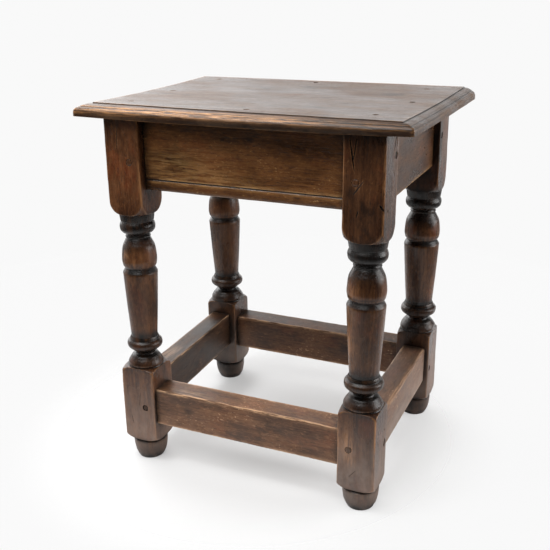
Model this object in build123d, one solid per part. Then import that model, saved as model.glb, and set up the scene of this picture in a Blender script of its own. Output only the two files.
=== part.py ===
from build123d import *
import math
import os
from dataclasses import dataclass, replace

# Oak joint stool: four turned legs, four aprons under the seat and four stretchers near the floor,
# all mortised, tenoned and pegged, with a moulded board pegged down on top.
# Millimetres. +X runs along the stool's length, -Y is the front, +Z is up, and the origin lies on the
# floor, midway between the four feet.

# --- Seat board ---------------------------------------------------------------------------------
STOOL_HEIGHT = 550.0          # floor to the board's long top edges
BOARD_LENGTH = 480.0
BOARD_WIDTH = 364.0
BOARD_THICKNESS = 17.5
BOARD_CUP = 2.2               # how far the middle has sunk below the long edges
EDGE_MOULD_WIDTH = 18.3       # from the flat's border to the nose of the thumb moulding
EDGE_QUIRK = 1.5              # step down from the flat to the moulding
EDGE_FILLET = 1.1             # level strip at the foot of that step
EDGE_NOSE_DEPTH = 10.0        # nose of the moulding below the top
EDGE_UNDERCUT = 6.0           # how far the nose rounds back to the underside
CORNER_ROUNDING = 4.0         # of the board's corners, seen from above
WORN_CORNER_ROUNDING = 22.0   # of the back right one, which has lost most

# --- Legs ---------------------------------------------------------------------------------------
LEG_SQUARE = 55.0             # side of the square stock
LEG_ARRIS = 1.5               # rounding of the square blocks' long edges
# Each leg's axis from the middle of the length. The back frame was cut a little longer on its left.
LEG_REACH = {"front_left": 173.75, "front_right": 173.75, "back_left": 181.75, "back_right": 173.75}
LEG_SPACING_FLOOR = 293.4     # between leg axes across the depth, at the floor
LEG_SPACING_SEAT = 280.0      # and under the board, where the front and back frames lean together
# Hand turning leaves each leg a little thicker or thinner than its fellows.
LEG_GIRTH = {"front_left": 0.96, "front_right": 1.0, "back_left": 1.03, "back_right": 1.05}

# Turned outline as (radius, height), from the floor up.
FOOT_BASE = (18.9, -1.0)      # below the floor, so that the level cut stays within one curved surface
FOOT_BELLY = (25.2, 17.0)
FOOT_TOP = (26.2, 30.0)
FOOT_QUIRK = (23.4, 32.5)
LOWER_BLOCK_FOOT_END = (26.5, 35.5)
LOWER_BLOCK_SQUARE = (47.0, 145.0)      # heights between which the stock is left square
LOWER_BLOCK_TOP_END = (27.2, 156.5)
RING_QUIRK_LOW = (26.6, 157.6)
CUSHION_WIDEST = (27.6, 159.4)
CUSHION_SIDE = (26.6, 163.6)
CUSHION_GROOVE = (24.6, 167.0)
CUSHION_UPPER = (23.2, 168.8)
CUSHION_TOP = (16.0, 174.4)
LOWER_NECK = (14.9, 176.0)
DISC_UNDER = (16.0, 178.2)
DISC_LOW = (23.4, 184.0)
DISC_WIDEST = (27.4, 191.0)
DISC_TOP = (24.2, 197.2)
DISC_QUIRK = (22.9, 198.2)
COLUMN_FILLET = (22.4, 200.6)
COLUMN_FOOT = (20.6, 207.0)
COLUMN_MIDDLE = (23.4, 250.0)
COLUMN_TOP = (26.4, 304.2)
COLUMN_LIP = (25.9, 305.6)
NOTCH = (22.6, 311.0)
BULB_FOOT = (25.4, 316.0)
BULB_WIDEST = (26.5, 325.0)
BULB_SIDE = (24.6, 342.6)
BULB_SHOULDER = (21.3, 350.7)
BULB_TOP = (18.8, 355.6)
BEAD_LOW = (17.9, 357.0)
BEAD_WIDEST = (19.0, 359.3)
UPPER_NECK = (17.7, 361.8)
RING_STEP = (18.8, 363.4)
RING_LOW = (22.8, 365.6)
RING_WIDEST = (26.6, 374.3)
RING_TOP = (24.9, 380.4)
RING_QUIRK_HIGH = (24.1, 381.8)
COLLAR_LOW = (24.9, 383.2)
COLLAR_TOP = (26.0, 390.5)
UPPER_BLOCK_END = (26.4, 394.0)
UPPER_BLOCK_SQUARE = 424.0              # height above which the stock is left square

# --- Aprons and stretchers ------------------------------------------------------------------------
@dataclass
class Rail:
    """One rail's section and tenons: heights above the floor, and depths behind the legs' face."""

    bottom: float
    top: float
    recess: float             # outer face behind the legs' outer face
    thickness: float
    tenon_bottom: float
    tenon_top: float
    tenon_setback: float      # tenon's outer cheek behind the rail's outer face
    tenon_thickness: float
    tenon_length: float
    peg_from_shoulder: float
    peg_heights: tuple        # at the rail's left or front end, and at its right or back end


BOARD_UNDERSIDE = STOOL_HEIGHT - BOARD_THICKNESS
LONG_APRON = Rail(
    bottom=430.5,
    top=BOARD_UNDERSIDE,
    recess=14.8,
    thickness=24.0,
    tenon_bottom=446.0,
    tenon_top=511.0,
    tenon_setback=6.5,
    tenon_thickness=11.0,
    tenon_length=34.0,
    peg_from_shoulder=17.0,
    peg_heights=(471.0, 471.0),
)
LONG_STRETCHER = Rail(
    bottom=66.5,
    top=124.5,
    recess=7.0,
    thickness=38.0,
    tenon_bottom=74.0,
    tenon_top=117.0,
    tenon_setback=13.5,
    tenon_thickness=12.0,
    tenon_length=34.0,
    peg_from_shoulder=16.5,
    peg_heights=(93.0, 98.0),
)
BACK_STRETCHER = replace(LONG_STRETCHER, bottom=69.5, top=128.5)
SIDE_APRON = Rail(
    bottom=436.0,
    top=BOARD_UNDERSIDE,
    recess=10.0,
    thickness=24.0,
    tenon_bottom=446.0,
    tenon_top=511.0,
    tenon_setback=6.5,
    tenon_thickness=11.0,
    tenon_length=19.0,            # short, to stop before the front or back rail's tenon
    peg_from_shoulder=10.5,
    peg_heights=(500.0, 482.0),
)
SIDE_STRETCHER = Rail(
    bottom=72.0,
    top=132.0,
    recess=7.0,
    thickness=36.0,
    tenon_bottom=80.0,
    tenon_top=124.0,
    tenon_setback=12.0,
    tenon_thickness=12.0,
    tenon_length=19.0,
    peg_from_shoulder=10.5,
    peg_heights=(95.0, 92.0),
)

LEFT_STRETCHER = replace(SIDE_STRETCHER, bottom=75.0, top=135.0)

MORTISE_GAP = 1.0             # air left at the bottom of each mortise
STRETCHER_WORN_ARRIS = 5.0    # rounding of the stretchers' upper outer edge
RAIL_ARRIS = 1.2              # rounding of the rails' other long edges
BEAD_HEIGHT = 14.0            # scratched bead along the long aprons' lower edge
BEAD_GROOVE_WIDTH = 3.4
BEAD_GROOVE_DEPTH = 1.8
BEAD_ROUNDING = 5.0

# --- Pegs -----------------------------------------------------------------------------------------
JOINT_PEG_DIAMETER = 9.0
JOINT_PEG_DEPTH = 38.0        # below the leg's face, short of the other rail's peg
JOINT_PEG_PROUD = 0.6
SEAT_PEG_DIAMETER = 7.5
SEAT_PEG_DEPTH = 17.0         # below the board's underside
PEG_HOLE_GAP = 1.0            # air left at the bottom of each hole
PEG_POINT = 1.0               # chamfer on the driven end
# Where each seat peg was bored, (x, y).
SEAT_PEGS = {
    "front_left": (-180.0, -127.0),
    "front_middle": (6.0, -144.0),
    "front_right": (174.0, -127.0),
    "right_middle": (186.0, -1.0),
    "back_right": (174.0, 125.0),
    "back_middle": (-10.0, 144.0),
    "back_left": (-180.0, 138.0),
    "left_middle": (-186.0, -3.0),
}

# --- Derived --------------------------------------------------------------------------------------
LEG_HALF = LEG_SQUARE / 2
LEG_CORNER = LEG_HALF * math.sqrt(2) + 0.3      # turning radius that clears the stock's corners
SPLAY = math.degrees(math.atan2(LEG_SPACING_FLOOR - LEG_SPACING_SEAT, 2 * BOARD_UNDERSIDE))
CUP_RADIUS = ((BOARD_WIDTH / 2 - EDGE_MOULD_WIDTH) ** 2 + BOARD_CUP**2) / (2 * BOARD_CUP)
BEYOND = 20.0                 # how far cutting solids run past what they cut
SIDES = {"left": -1, "right": 1}
RAILS = {
    "apron_front": LONG_APRON,
    "apron_back": LONG_APRON,
    "apron_left": SIDE_APRON,
    "apron_right": SIDE_APRON,
    "stretcher_front": LONG_STRETCHER,
    "stretcher_back": BACK_STRETCHER,
    "stretcher_left": LEFT_STRETCHER,
    "stretcher_right": SIDE_STRETCHER,
}
RAIL_ENDS = {
    "front": ("left", "right"),
    "back": ("left", "right"),
    "left": ("front", "back"),
    "right": ("front", "back"),
}


def span_box(x, y, z):
    """A block between low and high limits along each axis."""
    size = [high - low for low, high in (x, y, z)]
    centre = [(low + high) / 2 for low, high in (x, y, z)]
    return Pos(*centre) * Box(*size)


def in_frame(shape, end):
    """Stand a shape of the upright front or back frame on the floor, leaning in by the splay."""
    turn = 0 if end == "front" else 180
    return Rot(0, 0, turn) * Pos(0, -LEG_SPACING_FLOOR / 2, 0) * Rot(-SPLAY, 0, 0) * shape


def level_cut(shape):
    """A leaning piece sawn off level, at the floor and under the board."""
    wide = (-BOARD_LENGTH, BOARD_LENGTH)
    shape -= span_box(wide, wide, (-3 * BEYOND, 0))
    return shape - span_box(wide, wide, (BOARD_UNDERSIDE, BOARD_UNDERSIDE + 3 * BEYOND))


def along_frame(end, side, inward=0.0):
    """Where a leg's axis lies along its own frame, or a point inward from it."""
    sign = SIDES[side] if end == "front" else -SIDES[side]
    return sign * (LEG_REACH[f"{end}_{side}"] - inward)


def between_legs(end, into_legs=0.0):
    """Both limits, along its frame, of a piece that reaches into the legs of one frame."""
    return tuple(sorted(along_frame(end, side, LEG_HALF - into_legs) for side in SIDES))


def side_place(side):
    """How a side rail lies: straight on the right, slanting out to the farther back leg on the left."""
    if side == "right":
        return Pos(0, 0, 0)
    middle = (LEG_REACH["back_left"] + LEG_REACH["front_left"]) / 2
    longer = LEG_REACH["back_left"] - LEG_REACH["front_left"]
    slant = math.degrees(math.atan2(longer, LEG_SPACING_FLOOR))
    return Pos(-middle, 0, 0) * Rot(0, 0, slant) * Pos(LEG_REACH["front_left"], 0, 0)


# --- The turned legs --------------------------------------------------------------------------------
def leg_turning(girth):
    """The lathe's work on one leg, as a solid about the Z axis, wide enough to clear the blocks."""

    def at(point):
        radius, height = point
        return radius * girth, height

    block_low, block_high = LOWER_BLOCK_SQUARE
    with BuildSketch(Plane.XZ) as outline:
        with BuildLine():
            Polyline((0, -BEYOND), (FOOT_BASE[0], -BEYOND), FOOT_BASE)
            ThreePointArc(FOOT_BASE, FOOT_BELLY, FOOT_TOP)
            Polyline(FOOT_TOP, FOOT_QUIRK, LOWER_BLOCK_FOOT_END)
            shoulder(LOWER_BLOCK_FOOT_END, block_low, 270)
            Line((LEG_CORNER, block_low), (LEG_CORNER, block_high))
            shoulder(at(LOWER_BLOCK_TOP_END), block_high, 0)
            Line(at(LOWER_BLOCK_TOP_END), at(RING_QUIRK_LOW))
            ThreePointArc(at(RING_QUIRK_LOW), at(CUSHION_WIDEST), at(CUSHION_SIDE))
            Polyline(at(CUSHION_SIDE), at(CUSHION_GROOVE), at(CUSHION_UPPER))
            Spline(at(CUSHION_UPPER), at(CUSHION_TOP), tangents=((-3, 4), (-3, 1)))
            ThreePointArc(at(CUSHION_TOP), at(LOWER_NECK), at(DISC_UNDER))
            Line(at(DISC_UNDER), at(DISC_LOW))
            ThreePointArc(at(DISC_LOW), at(DISC_WIDEST), at(DISC_TOP))
            Polyline(at(DISC_TOP), at(DISC_QUIRK), at(COLUMN_FILLET))
            Spline(at(COLUMN_FILLET), at(COLUMN_FOOT), tangents=((-1, 1), (0, 1)))
            Spline(at(COLUMN_FOOT), at(COLUMN_MIDDLE), at(COLUMN_TOP))
            Polyline(at(COLUMN_TOP), at(COLUMN_LIP), at(NOTCH), at(BULB_FOOT))
            Spline(at(BULB_FOOT), at(BULB_WIDEST), at(BULB_SIDE), at(BULB_SHOULDER), at(BULB_TOP))
            Line(at(BULB_TOP), at(BEAD_LOW))
            ThreePointArc(at(BEAD_LOW), at(BEAD_WIDEST), at(UPPER_NECK))
            Polyline(at(UPPER_NECK), at(RING_STEP), at(RING_LOW))
            ThreePointArc(at(RING_LOW), at(RING_WIDEST), at(RING_TOP))
            Polyline(at(RING_TOP), at(RING_QUIRK_HIGH), at(COLLAR_LOW), at(COLLAR_TOP), at(UPPER_BLOCK_END))
            shoulder(at(UPPER_BLOCK_END), UPPER_BLOCK_SQUARE, 270)
            top = BOARD_UNDERSIDE + BEYOND
            Polyline((LEG_CORNER, UPPER_BLOCK_SQUARE), (LEG_CORNER, top), (0, top), (0, -BEYOND))
        make_face()
    return revolve(outline.sketch, Axis.Z)


def shoulder(end, square_height, start_angle):
    """Quarter oval from a block's end on the turning out to the corner of the square stock."""
    radius, height = end
    EllipticalCenterArc(
        (radius, square_height),
        LEG_CORNER - radius,
        abs(square_height - height),
        start_angle=start_angle,
        arc_size=90,
    )


def leg(end, side):
    """One leg in place: square stock turned between the blocks, cut off level, mortised and bored."""
    girth = LEG_GIRTH[f"{end}_{side}"]
    stock = Pos(0, 0, -BEYOND) * extrude(
        RectangleRounded(LEG_SQUARE, LEG_SQUARE, LEG_ARRIS), BOARD_UNDERSIDE + 2 * BEYOND
    )
    upright = Pos(along_frame(end, side), 0, 0) * (stock & leg_turning(girth))
    placed = level_cut(in_frame(upright, end))
    for cutter in leg_cutters(end, side):
        placed -= cutter
    return placed


def leg_cutters(end, side):
    """The mortises and peg holes of one leg."""
    cutters = []
    for kind in ("apron", "stretcher"):
        cutters.append(in_frame(long_tenons(kind, end, MORTISE_GAP), end))
        cutters.append(joint_peg(f"{kind}_{end}", side, hole=True))
        cutters.append(side_tenons(kind, side, MORTISE_GAP))
        cutters.append(joint_peg(f"{kind}_{side}", end, hole=True))
    cutters.append(seat_peg_bore(f"{end}_{side}"))
    return cutters


# --- Front and back rails, made in the upright frame --------------------------------------------------
def long_depths(rail):
    """Outer and inner faces of a front or back rail, from the leg axes' plane."""
    outer = -LEG_HALF + rail.recess
    return outer, outer + rail.thickness


def long_tenons(kind, end, extra=0.0):
    """Both tenons of a front or back rail as one bar, longer at each end by extra."""
    rail = RAILS[f"{kind}_{end}"]
    cheek = long_depths(rail)[0] + rail.tenon_setback
    return span_box(
        between_legs(end, rail.tenon_length + extra),
        (cheek, cheek + rail.tenon_thickness),
        (rail.tenon_bottom, rail.tenon_top),
    )


def long_apron(end):
    """Front or back apron: a board with a bead scratched along its lower edge, trimmed level on top."""
    outer, inner = long_depths(LONG_APRON)
    bottom, top = LONG_APRON.bottom, LONG_APRON.top + BEYOND
    groove_low = bottom + BEAD_HEIGHT
    groove_high = groove_low + BEAD_GROOVE_WIDTH
    with BuildSketch(Plane.YZ) as section:
        with BuildLine():
            Polyline((inner, bottom), (outer + BEAD_ROUNDING, bottom))
            EllipticalCenterArc(
                (outer + BEAD_ROUNDING, bottom + BEAD_ROUNDING),
                BEAD_ROUNDING,
                BEAD_ROUNDING,
                start_angle=180,
                arc_size=90,
            )
            Polyline(
                (outer, bottom + BEAD_ROUNDING),
                (outer, groove_low),
                (outer + BEAD_GROOVE_DEPTH, groove_low + BEAD_GROOVE_WIDTH / 2),
                (outer, groove_high),
                (outer, top),
                (inner, top),
                (inner, bottom),
            )
        make_face()
    low, high = between_legs(end)
    body = Pos(low, 0, 0) * extrude(section.sketch, high - low)
    placed = level_cut(in_frame(body, end))
    return bored(placed + in_frame(long_tenons("apron", end), end), f"apron_{end}")


def long_stretcher(end):
    """Front or back stretcher, its upper outer edge worn round by feet."""
    rail = RAILS[f"stretcher_{end}"]
    body = worn_bar(between_legs(end), long_depths(rail)[0], rail)
    return bored(in_frame(body + long_tenons("stretcher", end), end), f"stretcher_{end}")


def worn_bar(limits, outer, rail):
    """A bar between limits along X, outer face at Y = outer, worn round along that face's upper edge."""
    section = Pos(outer + rail.thickness / 2, (rail.bottom + rail.top) / 2) * Rectangle(
        rail.thickness, rail.top - rail.bottom
    )
    section = fillet(section.vertices().group_by(Axis.Y)[0], RAIL_ARRIS)
    section = fillet(section.vertices().group_by(Axis.Y)[-1].sort_by(Axis.X)[0], STRETCHER_WORN_ARRIS)
    section = fillet(section.vertices().group_by(Axis.Y)[-1].sort_by(Axis.X)[-1], RAIL_ARRIS)
    low, high = limits
    return Pos(low, 0, 0) * extrude(Plane.YZ * section, high - low)


# --- Side rails ---------------------------------------------------------------------------------------
def side_faces(rail):
    """Outer and inner faces of a right-hand side rail, as x."""
    outer = LEG_REACH["front_right"] + LEG_HALF - rail.recess
    return outer, outer - rail.thickness


def shoulder_y(rail):
    """Half the length of a side rail between the leaning legs, at its tenons' mid height."""
    mid = (rail.tenon_bottom + rail.tenon_top) / 2
    return LEG_SPACING_FLOOR / 2 - LEG_HALF - mid * math.tan(math.radians(SPLAY))


def side_tenons(kind, side, extra=0.0):
    """Both tenons of a side rail as one bar, longer at each end by extra."""
    rail = RAILS[f"{kind}_{side}"]
    cheek = side_faces(rail)[0] - rail.tenon_setback
    reach = shoulder_y(rail) + rail.tenon_length + extra
    x = sorted(SIDES[side] * edge for edge in (cheek, cheek - rail.tenon_thickness))
    return side_place(side) * span_box(x, (-reach, reach), (rail.tenon_bottom, rail.tenon_top))


def side_rail(kind, side):
    """A side apron or stretcher, its shoulders cut to the legs' lean."""
    rail = RAILS[f"{kind}_{side}"]
    outer, inner = side_faces(rail)
    half_length = LEG_SPACING_FLOOR / 2
    if kind == "stretcher":
        body = Rot(0, 0, 90) * worn_bar((-half_length, half_length), -outer, rail)
    else:
        body = span_box((inner, outer), (-half_length, half_length), (rail.bottom, rail.top))
    if side == "left":
        body = side_place(side) * Rot(0, 0, 180) * body
    beyond_face = span_box(
        (-BOARD_LENGTH, BOARD_LENGTH), (-BOARD_WIDTH, LEG_HALF), (-BEYOND, STOOL_HEIGHT + BEYOND)
    )
    body -= in_frame(beyond_face, "front")
    body -= in_frame(beyond_face, "back")
    return bored(body + side_tenons(kind, side), f"{kind}_{side}")


# --- Pegs -----------------------------------------------------------------------------------------------
def peg_rod(diameter, depth, proud, hole):
    """A peg or its hole along -Z from a face at Z = 0."""
    if hole:
        return Pos(0, 0, (BEYOND - depth - PEG_HOLE_GAP) / 2) * Cylinder(
            diameter / 2, depth + PEG_HOLE_GAP + BEYOND
        )
    rod = Pos(0, 0, (proud - depth) / 2) * Cylinder(diameter / 2, depth + proud)
    return chamfer(rod.edges().sort_by(Axis.Z)[0], PEG_POINT)


def joint_peg(rail_name, rail_end, hole=False):
    """The peg, or its hole, through the tenon at one end of a rail."""
    rail = RAILS[rail_name]
    height = rail.peg_heights[RAIL_ENDS[rail_name.split("_")[1]].index(rail_end)]
    rod = peg_rod(JOINT_PEG_DIAMETER, JOINT_PEG_DEPTH, JOINT_PEG_PROUD, hole)
    where = rail_name.split("_")[1]
    if where in SIDES:
        face = LEG_REACH[f"{rail_end}_{where}"] + LEG_HALF
        y = shoulder_y(rail) + rail.peg_from_shoulder
        turned = Pos(face, -y if rail_end == "front" else y, height) * Rot(0, 90, 0) * rod
        return turned if where == "right" else mirror(turned, Plane.YZ)
    x = along_frame(where, rail_end, LEG_HALF - rail.peg_from_shoulder)
    turned = Pos(x, -LEG_HALF, height) * Rot(90, 0, 0) * rod
    return in_frame(turned, where)


def seat_peg_bore(name):
    """The hole for one seat peg, through the board and into the frame below it."""
    x, y = SEAT_PEGS[name]
    return Pos(x, y, BOARD_UNDERSIDE) * peg_rod(SEAT_PEG_DIAMETER, SEAT_PEG_DEPTH, 0, True)


def seat_peg(name):
    """One seat peg, trimmed flush with the board's cupped top."""
    x, y = SEAT_PEGS[name]
    rod = peg_rod(SEAT_PEG_DIAMETER, SEAT_PEG_DEPTH, BEYOND, False)
    return (Pos(x, y, BOARD_UNDERSIDE) * rod) & cupped_slab()


def bored(rail_solid, rail_name):
    """A rail with the holes of its two joint pegs, and of the seat peg that enters its top."""
    where = rail_name.split("_")[1]
    for rail_end in RAIL_ENDS[where]:
        rail_solid -= joint_peg(rail_name, rail_end, hole=True)
    if rail_name.startswith("apron"):
        rail_solid -= seat_peg_bore(f"{where}_middle")
    return rail_solid


# --- Seat board -------------------------------------------------------------------------------------------
def cupped_slab():
    """Everything between the floor and the board's cupped top."""
    top = STOOL_HEIGHT - BOARD_CUP
    hollow = Pos(0, 0, top + CUP_RADIUS) * Rot(0, 90, 0) * Cylinder(CUP_RADIUS, 2 * BOARD_LENGTH)
    slab = span_box((-BOARD_LENGTH, BOARD_LENGTH), (-BOARD_WIDTH, BOARD_WIDTH), (0, STOOL_HEIGHT))
    return slab - hollow


def mirrored(half_section):
    """A section completed from its right-hand half."""
    return half_section + mirror(half_section, Plane.YZ)


def thumb_section(half, top):
    """Flat, quirk and thumb moulding down to the nose, then straight down past the underside."""
    flat = half - EDGE_MOULD_WIDTH
    thumb = flat + EDGE_FILLET
    nose = top - EDGE_NOSE_DEPTH
    base = BOARD_UNDERSIDE - BEYOND
    with BuildLine() as outline:
        Polyline((0, base), (0, top), (flat, top), (flat, top - EDGE_QUIRK), (thumb, top - EDGE_QUIRK))
        EllipticalCenterArc((thumb, nose), half - thumb, EDGE_NOSE_DEPTH - EDGE_QUIRK, 90, arc_size=-90)
        Polyline((half, nose), (half, base), (0, base))
    return mirrored(make_face(outline.line))


def undercut_section(half):
    """Flat underside rounded up to the nose, then straight up past the top."""
    nose = STOOL_HEIGHT - EDGE_NOSE_DEPTH
    centre = half - EDGE_UNDERCUT
    above = STOOL_HEIGHT + BEYOND
    with BuildLine() as outline:
        Polyline((half, nose), (half, above), (0, above), (0, BOARD_UNDERSIDE), (centre, BOARD_UNDERSIDE))
        EllipticalCenterArc((centre, nose), EDGE_UNDERCUT, nose - BOARD_UNDERSIDE, 270, arc_size=90)
    return mirrored(make_face(outline.line))


def board_plan():
    """The board's outline from above, corners rounded, as a block taller than the stool."""
    plan = Rectangle(BOARD_LENGTH, BOARD_WIDTH)
    worn = plan.vertices().sort_by(lambda corner: corner.X + corner.Y)[-1]
    plan = fillet(worn, WORN_CORNER_ROUNDING)
    corner_reach = (BOARD_LENGTH + BOARD_WIDTH) / 2
    others = [corner for corner in plan.vertices() if abs(corner.X) + abs(corner.Y) > corner_reach - 1]
    return extrude(fillet(others, CORNER_ROUNDING), STOOL_HEIGHT + BEYOND)


def seat_board():
    """The moulded board, cupped across its width, with a flat underside and its peg holes."""
    across = Plane.YZ * (thumb_section(BOARD_WIDTH / 2, STOOL_HEIGHT) & undercut_section(BOARD_WIDTH / 2))
    board = extrude(across, BOARD_LENGTH, both=True) & cupped_slab()
    # The end mouldings follow the cup, so they turn about its axis.
    swing = 2 * math.degrees(math.asin(BOARD_WIDTH / CUP_RADIUS))
    cup_axis = Axis((0, 0, STOOL_HEIGHT - BOARD_CUP + CUP_RADIUS), (1, 0, 0))
    ends = Plane.XZ * thumb_section(BOARD_LENGTH / 2, STOOL_HEIGHT - BOARD_CUP)
    board &= revolve(ends.rotate(cup_axis, -swing / 2), cup_axis, swing)
    board &= extrude(Plane.XZ * undercut_section(BOARD_LENGTH / 2), BOARD_WIDTH, both=True)
    board &= board_plan()
    for name in SEAT_PEGS:
        board -= seat_peg_bore(name)
    return board


# --- Write every piece --------------------------------------------------------------------------------------
def pieces():
    """Node name and solid of every piece."""
    yield "seat_board", seat_board()
    for end in ("front", "back"):
        for side in SIDES:
            yield f"leg_{end}_{side}", leg(end, side)
        yield f"apron_{end}", long_apron(end)
        yield f"stretcher_{end}", long_stretcher(end)
    for side in SIDES:
        yield f"apron_{side}", side_rail("apron", side)
        yield f"stretcher_{side}", side_rail("stretcher", side)
    for rail_name in RAILS:
        for rail_end in RAIL_ENDS[rail_name.split("_")[1]]:
            yield f"peg_{rail_name}_{rail_end}", joint_peg(rail_name, rail_end)
    for name in SEAT_PEGS:
        yield f"seat_peg_{name}", seat_peg(name)


os.makedirs("parts", exist_ok=True)
for node, solid in pieces():
    export_step(solid, f"parts/{node}.step")
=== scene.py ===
import math

import bmesh
import bpy
import numpy as np
from mathutils import Matrix, Vector, geometry, noise


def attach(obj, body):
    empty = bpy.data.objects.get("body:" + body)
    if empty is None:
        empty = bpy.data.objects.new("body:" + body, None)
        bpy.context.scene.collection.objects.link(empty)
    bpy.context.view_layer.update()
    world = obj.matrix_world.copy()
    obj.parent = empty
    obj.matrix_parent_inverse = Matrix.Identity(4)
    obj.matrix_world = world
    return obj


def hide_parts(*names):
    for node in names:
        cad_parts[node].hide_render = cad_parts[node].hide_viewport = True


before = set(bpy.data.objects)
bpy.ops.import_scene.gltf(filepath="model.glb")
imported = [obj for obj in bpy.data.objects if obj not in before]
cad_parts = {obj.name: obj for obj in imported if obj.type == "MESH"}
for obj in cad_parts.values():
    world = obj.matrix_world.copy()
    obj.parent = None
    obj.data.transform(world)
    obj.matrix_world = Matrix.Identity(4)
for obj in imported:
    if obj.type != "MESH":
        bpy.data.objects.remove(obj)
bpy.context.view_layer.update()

bpy.context.scene.view_settings.view_transform = "Standard"

# --- Camera -------------------------------------------------------------------
# A still camera a little higher than the seat, round towards the stool's right front corner.
CAMERA_PLACE = (0.4741, -1.1019, 0.7109)
CAMERA_YAW = 24.197  # degrees, as are the tilt and the roll
CAMERA_TILT = 20.047
CAMERA_ROLL = -0.719
CAMERA_LENS = 53.82  # millimetres, as is the sensor's width
SENSOR_WIDTH = 36.0


def in_scene(name, data):
    """A new object that holds the data, in the scene."""
    made = bpy.data.objects.new(name, data)
    bpy.context.scene.collection.objects.link(made)
    return made


camera_data = bpy.data.cameras.new("camera")
camera_data.lens = CAMERA_LENS
camera_data.sensor_width = SENSOR_WIDTH
camera = in_scene("camera", camera_data)
camera.matrix_world = (
    Matrix.Translation(CAMERA_PLACE)
    @ Matrix.Rotation(math.radians(CAMERA_YAW), 4, "Z")
    @ Matrix.Rotation(math.radians(90 - CAMERA_TILT), 4, "X")
    @ Matrix.Rotation(math.radians(CAMERA_ROLL), 4, "Z")
)
bpy.context.scene.camera = camera


# --- Floor and light ----------------------------------------------------------
# A white studio: a pale floor that fades into a white surround. Broad glows behind the stool shine
# over the seat, while soft lamps above the front, the left and the seat and one low on the right light
# the wood.
FLOOR_HALF = 4.0
FLOOR_PALE = (0.84, 0.84, 0.84)
# Metres from a point under the stool where the floor starts and ends fading: as seen, and for the
# light it throws.
FLOOR_FADE_MIDDLE = (-0.06, 0.0, 0.0)
FLOOR_FADE_SEEN = (0.20, 0.42)
FLOOR_FADE = (0.50, 1.10)
# Shares of the white surround seen through the floor, under the stool and away from it.
FLOOR_VEIL = (0.34, 0.97)
SURROUND_SEEN = (0.947, 0.947, 0.947)
SURROUND_DIM = 0.05
# Glows in the surround, as (towards, how far they spread, strength), each full near its middle.
GLOW_FULL = 0.98
SURROUND_GLOWS = [
    ((-0.76, 0.58, 0.36), 0.17, 3.1),
    ((-0.13, 0.98, 0.05), 0.1, 1.6),
    ((0.55, 0.78, -0.28), 0.28, 0.3),
    ((-1, 0, 0.25), 0.35, 0.8),
    ((0, 0, 1), 0.65, 0.25),
]


def add_node(tree, kind, sockets=None, **settings):
    """A shader node with its settings, its sockets linked to others or set to values."""
    made = tree.nodes.new(f"ShaderNode{kind}")
    for name, value in settings.items():
        setattr(made, name, value)
    for key, value in (sockets or {}).items():
        if isinstance(value, bpy.types.NodeSocket):
            tree.links.new(value, made.inputs[key])
        else:
            made.inputs[key].default_value = value
    return made.outputs


def eased(tree, value, low, high, to_low=0.0, to_high=1.0):
    """The value taken smoothly from one span to another."""
    spans = {"Value": value, "From Min": low, "From Max": high, "To Min": to_low, "To Max": to_high}
    return add_node(tree, "MapRange", spans, interpolation_type="SMOOTHSTEP")[0]


def new_tree(owner):
    """The owner's node tree, emptied."""
    owner.use_nodes = True
    owner.node_tree.nodes.clear()
    return owner.node_tree


world = bpy.data.worlds.new("studio")
bpy.context.scene.world = world
tree = new_tree(world)
seen = add_node(tree, "Background", {"Color": (*SURROUND_SEEN, 1), "Strength": 1.0})
facing = add_node(tree, "TexCoord")["Generated"]
glow = SURROUND_DIM
for towards, spread, strength in SURROUND_GLOWS:
    way = Vector(towards).normalized()
    near = add_node(tree, "VectorMath", {0: facing, 1: way}, operation="DOT_PRODUCT")["Value"]
    share = eased(tree, near, 1 - spread, GLOW_FULL, 0.0, strength)
    glow = add_node(tree, "Math", {0: share, 1: glow}, operation="ADD")[0]
lit = add_node(tree, "Background", {"Color": (1, 1, 1, 1), "Strength": glow})
rays = add_node(tree, "LightPath")
surround = add_node(tree, "MixShader", {0: rays["Is Camera Ray"], 1: lit[0], 2: seen[0]})
add_node(tree, "OutputWorld", {"Surface": surround[0]})

floor_paint = bpy.data.materials.new("floor_paint")
tree = new_tree(floor_paint)
matt = {"Base Color": (*FLOOR_PALE, 1), "Roughness": 0.75, "Specular IOR Level": 0.2}
paint = add_node(tree, "BsdfPrincipled", matt)
where = add_node(tree, "TexCoord")
ends = {0: where["Object"], 1: FLOOR_FADE_MIDDLE}
distance = add_node(tree, "VectorMath", ends, operation="DISTANCE")["Value"]
veil = eased(tree, distance, *FLOOR_FADE_SEEN, *FLOOR_VEIL)
gone = eased(tree, distance, *FLOOR_FADE)
rays = add_node(tree, "LightPath")
seen_fade = add_node(tree, "Math", {0: veil, 1: rays["Is Camera Ray"]}, operation="MULTIPLY")
fade = add_node(tree, "Math", {0: seen_fade[0], 1: gone}, operation="MAXIMUM")
clear = add_node(tree, "BsdfTransparent")
surface = add_node(tree, "MixShader", {0: fade[0], 1: paint[0], 2: clear[0]})
add_node(tree, "OutputMaterial", {"Surface": surface[0]})

shape = bmesh.new()
bmesh.ops.create_grid(shape, x_segments=2, y_segments=2, size=FLOOR_HALF)
floor_mesh = bpy.data.meshes.new("floor")
shape.to_mesh(floor_mesh)
shape.free()
floor_mesh.materials.append(floor_paint)
floor = in_scene("floor", floor_mesh)


def soft_lamp(name, place, aim, width, power):
    """A square soft lamp at a place, facing a point."""
    lamp = bpy.data.lights.new(name, "AREA")
    lamp.shape = "SQUARE"
    lamp.size = width
    lamp.energy = power
    facing = (Vector(aim) - Vector(place)).to_track_quat("-Z", "Y")
    in_scene(name, lamp).matrix_world = Matrix.Translation(place) @ facing.to_matrix().to_4x4()


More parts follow.
